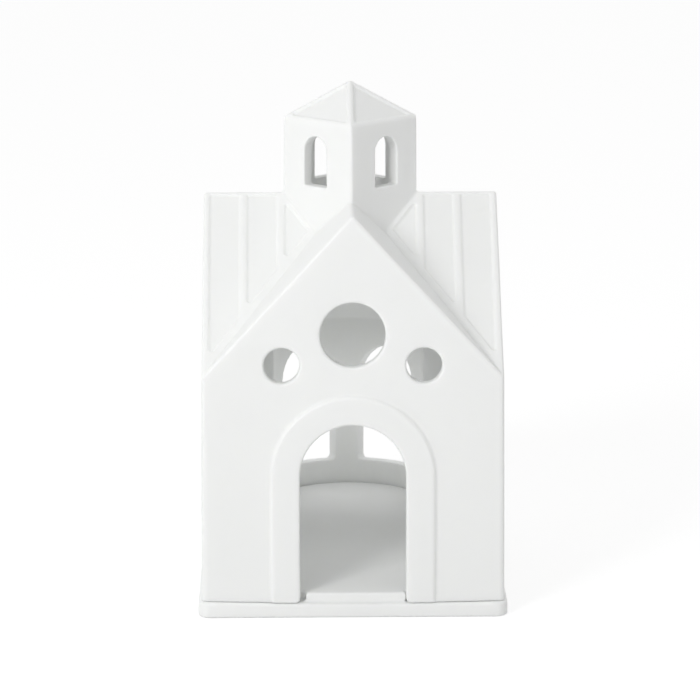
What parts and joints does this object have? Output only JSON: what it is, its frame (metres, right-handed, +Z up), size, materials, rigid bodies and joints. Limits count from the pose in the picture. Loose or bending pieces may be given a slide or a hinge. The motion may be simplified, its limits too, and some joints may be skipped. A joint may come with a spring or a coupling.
{
  "type": "tealight house",
  "caption": "White porcelain tealight house in the shape of a small chapel with a tower and round apse, lifting off a flat base plate.",
  "frame": {"origin": "on the flat underside of the base plate, straight below the tower's tip", "axes": "+Z up through the tower, -Y out of the front door, +X to the right seen from the front"},
  "size_m": [0.1146, 0.1771, 0.1919],
  "materials": {
    "porcelain": "matt unglazed white porcelain"
  },
  "bodies": {
    "plate": {"base_plate": "porcelain"},
    "house": {"house_shell": "porcelain"}
  },
  "joints": [
    {"name": "house_lift", "type": "slide", "parent": "plate", "child": "house", "axis": [0, 0, 1], "range_m": [0, 0.08]}
  ]
}
